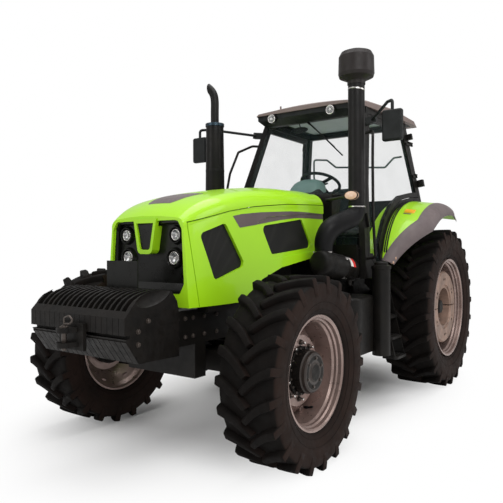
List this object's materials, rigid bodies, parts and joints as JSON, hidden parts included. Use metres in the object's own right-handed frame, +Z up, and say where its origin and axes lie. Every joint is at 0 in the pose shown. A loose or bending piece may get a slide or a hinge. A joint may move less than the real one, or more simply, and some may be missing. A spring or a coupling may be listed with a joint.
{
  "type": "farm tractor",
  "caption": "Four-wheel-drive farm tractor with a glazed cab, front weight pack, side exhaust and intake stacks, and a rear linkage.",
  "frame": {"origin": "ground level, in the middle of the bounding box in plan", "axes": "+Z up, the tractor faces -Y, +X is its left side"},
  "size_m": [2.39, 4.9499, 3.18],
  "materials": {
    "paint_green": "gloss lime-green paint",
    "paint_black": "semi-gloss black paint",
    "cast_black": "black painted casting",
    "nose_black": "smooth black",
    "lamp_clear": "clear lens",
    "mesh_black": "fine dark mesh",
    "tyre_rubber": "matt black rubber",
    "rim_silver": "rose-silver paint",
    "cab_glass": "tinted glass",
    "roof_beige": "pinkish beige",
    "trim_dark": "dark moulded trim",
    "flare_grey": "purple-grey",
    "rubber_black": "black rubber",
    "seat_cloth": "dark woven cloth",
    "plate_blank": "blank plate"
  },
  "bodies": {
    "tractor": {"side_panels": "paint_green", "side_grilles": "mesh_black", "front_frame": "paint_black", "engine": "cast_black", "transmission": "cast_black", "rear_axle_housing": "cast_black", "front_axle_beam": "cast_black", "weight_pack": "cast_black", "tow_clevis": "cast_black", "number_plate": "plate_blank", "cab_frame": "paint_black", "cab_windows": "cab_glass", "cab_floor": "trim_dark", "dashboard": "trim_dark", "steering_wheel": "trim_dark", "seat_base": "paint_black", "seat_cushions": "seat_cloth", "side_console": "trim_dark", "roof_shell": "roof_beige", "roof_lining": "trim_dark", "fenders": "paint_green", "fender_flares": "flare_grey", "entry_steps": "paint_black", "side_tanks": "paint_black", "air_cleaner": "rubber_black", "intake_stack": "paint_black", "exhaust_stack": "paint_black", "mirrors": "trim_dark", "handrails": "paint_black", "cab_lamps": "lamp_clear", "lower_links": "cast_black", "lift_arms": "cast_black", "top_link": "cast_black", "drawbar": "cast_black"},
    "bonnet": {"bonnet_shell": "paint_green", "nose_panel": "nose_black", "head_lamps": "lamp_clear"},
    "door_left": {"door_left": "paint_black", "door_glass_left": "cab_glass"},
    "door_right": {"door_right": "paint_black", "door_glass_right": "cab_glass"},
    "knuckle_left": {"knuckle_left": "cast_black"},
    "knuckle_right": {"knuckle_right": "cast_black"},
    "tie_rod": {"tie_rod": "cast_black"},
    "front_wheel_left": {"front_tyre_left": "tyre_rubber", "front_rim_left": "rim_silver", "front_hub_left": "cast_black"},
    "rear_wheel_left": {"rear_tyre_left": "tyre_rubber", "rear_rim_left": "rim_silver", "rear_hub_left": "cast_black", "ring_weight_left": "cast_black"},
    "front_wheel_right": {"front_tyre_right": "tyre_rubber", "front_rim_right": "rim_silver", "front_hub_right": "cast_black"},
    "rear_wheel_right": {"rear_tyre_right": "tyre_rubber", "rear_rim_right": "rim_silver", "rear_hub_right": "cast_black", "ring_weight_right": "cast_black"}
  },
  "joints": [
    {"name": "bonnet_lift", "type": "hinge", "parent": "tractor", "child": "bonnet", "pos_m": [0, 0.075, 1.922], "axis": [-1, 0, 0], "range_deg": [0, 50]},
    {"name": "door_left_swing", "type": "hinge", "parent": "tractor", "child": "door_left", "pos_m": [0.6971, 1.7748, 2.4018], "axis": [-0.1472, 0.0047, 0.9891], "range_deg": [0, 70]},
    {"name": "door_right_swing", "type": "hinge", "parent": "tractor", "child": "door_right", "pos_m": [-0.6971, 1.7748, 2.4018], "axis": [-0.1472, -0.0047, -0.9891], "range_deg": [0, 70]},
    {"name": "steer_left", "type": "hinge", "parent": "tractor", "child": "knuckle_left", "pos_m": [0.69, -1.27, 0.64], "axis": [0, 0, 1], "range_deg": [-35, 35]},
    {"name": "steer_right", "type": "hinge", "parent": "tractor", "child": "knuckle_right", "pos_m": [-0.69, -1.27, 0.64], "axis": [0, 0, 1], "range_deg": [-35, 35]},
    {"name": "tie_rod_pivot", "type": "hinge", "parent": "knuckle_left", "child": "tie_rod", "pos_m": [0.69, -1.07, 0.753], "axis": [0, 0, 1], "range_deg": [-35, 35]},
    {"name": "front_wheel_left_spin", "type": "hinge", "parent": "knuckle_left", "child": "front_wheel_left", "pos_m": [0.945, -1.27, 0.64], "axis": [-1, 0, 0], "continuous": true},
    {"name": "rear_wheel_left_spin", "type": "hinge", "parent": "tractor", "child": "rear_wheel_left", "pos_m": [0.925, 1.57, 0.818], "axis": [-1, 0, 0], "continuous": true},
    {"name": "front_wheel_right_spin", "type": "hinge", "parent": "knuckle_right", "child": "front_wheel_right", "pos_m": [-0.945, -1.27, 0.64], "axis": [-1, 0, 0], "continuous": true},
    {"name": "rear_wheel_right_spin", "type": "hinge", "parent": "tractor", "child": "rear_wheel_right", "pos_m": [-0.925, 1.57, 0.818], "axis": [-1, 0, 0], "continuous": true}
  ],
  "couplings": [
    {"joint": "steer_right", "follows": "steer_left", "ratio": 1},
    {"joint": "tie_rod_pivot", "follows": "steer_left", "ratio": -1}
  ]
}
